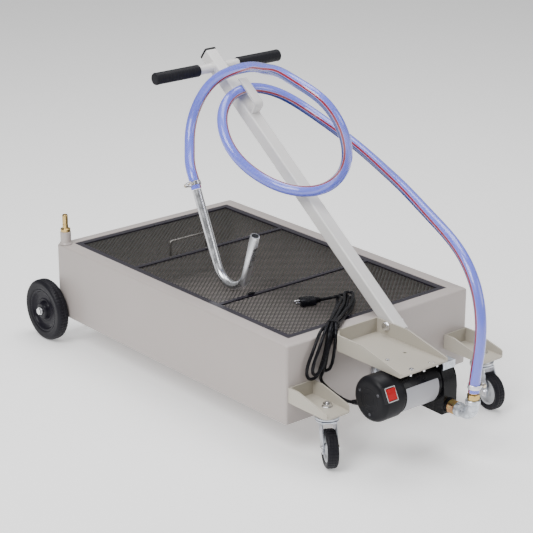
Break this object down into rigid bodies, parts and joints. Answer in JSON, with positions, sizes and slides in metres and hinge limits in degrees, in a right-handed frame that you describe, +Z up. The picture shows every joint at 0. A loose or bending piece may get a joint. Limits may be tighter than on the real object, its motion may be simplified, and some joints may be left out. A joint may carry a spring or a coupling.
{
  "type": "wheeled fluid drain tank",
  "caption": "Low-profile wheeled steel drain tank with lift-out screen, electric transfer pump, hose with J nozzle, vent, swivel casters and fold-down tow handle.",
  "frame": {"origin": "centre of the base of the bounding box of everything but the cords, on the ground", "axes": "+X from the fixed wheels to the pump, +Y to the far side, +Z up"},
  "size_m": [1.3154, 0.6526, 0.7984],
  "materials": {
    "tank_paint": "semi-gloss powder coat",
    "handle_paint": "semi-gloss powder coat",
    "grate_steel": "dark coated steel",
    "mesh_steel": "dark olive coated steel",
    "brass": "turned",
    "yellow_zinc": "yellow zinc",
    "galvanised": "galvanised",
    "zinc_plate": "bright zinc",
    "bright_steel": "plated",
    "dark_hub": "satin",
    "grey_hub": "satin",
    "rubber": "matte",
    "black_plastic": "satin",
    "pump_black": "black enamel",
    "label_silver": "satin",
    "copper_winding": "enamelled winding",
    "grip_rubber": "satin",
    "hose_pvc": "glossy flexible",
    "cord_black": "glossy",
    "switch_red": "glossy"
  },
  "bodies": {
    "tank": {"tank_shell": "tank_paint", "main_grate_frame": "grate_steel", "main_grate_mesh": "mesh_steel", "vent_boss": "tank_paint", "vent_fitting": "brass", "rear_axle": "bright_steel", "axle_bracket_near": "tank_paint", "axle_bracket_far": "tank_paint", "axle_nut_near": "bright_steel", "axle_nut_far": "bright_steel", "caster_bracket_near": "tank_paint", "caster_bracket_far": "tank_paint", "caster_kingpin_near": "zinc_plate", "caster_kingpin_far": "zinc_plate", "pump_bracket": "tank_paint", "pivot_bolt": "bright_steel", "pivot_nut": "bright_steel", "motor_end_cap": "black_plastic", "motor_housing": "label_silver", "motor_stator": "copper_winding", "pump_head": "pump_black", "pump_cover": "pump_black", "pump_mount_angle": "galvanised", "outlet_bushing": "yellow_zinc", "outlet_elbow": "galvanised", "hose_barb": "brass", "suction_pipe": "galvanised", "transfer_hose": "hose_pvc", "hose_clamp_pump": "bright_steel", "hose_clamp_nozzle": "bright_steel", "nozzle_pipe": "bright_steel", "cord_strain_relief": "cord_black", "power_cord_lead": "cord_black", "power_cord_hank": "cord_black", "power_plug": "cord_black"},
    "lift_screen": {"lift_screen_frame": "grate_steel", "lift_screen_mesh": "mesh_steel", "grate_bail": "grate_steel"},
    "rear_wheel_near": {"rear_tyre_near": "rubber", "rear_hub_near": "dark_hub"},
    "rear_wheel_far": {"rear_tyre_far": "rubber", "rear_hub_far": "dark_hub"},
    "fork_near": {"caster_fork_near": "zinc_plate", "caster_axle_bolt_near": "bright_steel"},
    "fork_far": {"caster_fork_far": "zinc_plate", "caster_axle_bolt_far": "bright_steel"},
    "caster_wheel_near": {"caster_tyre_near": "rubber", "caster_hub_near": "grey_hub"},
    "caster_wheel_far": {"caster_tyre_far": "rubber", "caster_hub_far": "grey_hub"},
    "handle": {"handle_tube": "handle_paint", "handle_end_cap": "black_plastic", "handle_crossbar": "handle_paint", "grip_near": "grip_rubber", "grip_far": "grip_rubber", "hose_hook": "handle_paint"},
    "rotor": {"motor_armature": "galvanised"},
    "switch": {"switch_rocker": "switch_red"}
  },
  "joints": [
    {"name": "handle_fold", "type": "hinge", "parent": "tank", "child": "handle", "pos_m": [0.37475, 0.0065, 0.2515], "axis": [0, 1, 0], "range_deg": [0, 95], "deforming": ["transfer_hose"]},
    {"name": "screen_lift", "type": "slide", "parent": "tank", "child": "lift_screen", "axis": [0, 0, 1], "range_m": [0, 0.25]},
    {"name": "rear_wheel_near_spin", "type": "hinge", "parent": "tank", "child": "rear_wheel_near", "pos_m": [-0.57525, -0.299, 0.079], "axis": [0, 1, 0], "continuous": true},
    {"name": "rear_wheel_far_spin", "type": "hinge", "parent": "tank", "child": "rear_wheel_far", "pos_m": [-0.57525, 0.299, 0.079], "axis": [0, 1, 0], "continuous": true},
    {"name": "caster_near_swivel", "type": "hinge", "parent": "tank", "child": "fork_near", "pos_m": [0.41375, -0.227, 0.1017], "axis": [0, 0, 1], "continuous": true},
    {"name": "caster_near_roll", "type": "hinge", "parent": "fork_near", "child": "caster_wheel_near", "pos_m": [0.44233, -0.2435, 0.044], "axis": [0.5, 0.866, 0], "continuous": true},
    {"name": "caster_far_swivel", "type": "hinge", "parent": "tank", "child": "fork_far", "pos_m": [0.41975, 0.253, 0.1017], "axis": [0, 0, 1], "continuous": true},
    {"name": "caster_far_roll", "type": "hinge", "parent": "fork_far", "child": "caster_wheel_far", "pos_m": [0.45243, 0.24841, 0.044], "axis": [0.1392, 0.9903, 0], "continuous": true},
    {"name": "rotor_spin", "type": "hinge", "parent": "tank", "child": "rotor", "pos_m": [0.51665, -0.09, 0.1717], "axis": [0, 1, 0], "continuous": true},
    {"name": "switch_rock", "type": "hinge", "parent": "tank", "child": "switch", "pos_m": [0.56476, -0.182, 0.19622], "axis": [0, -1, 0], "range_deg": [0, 14]}
  ]
}
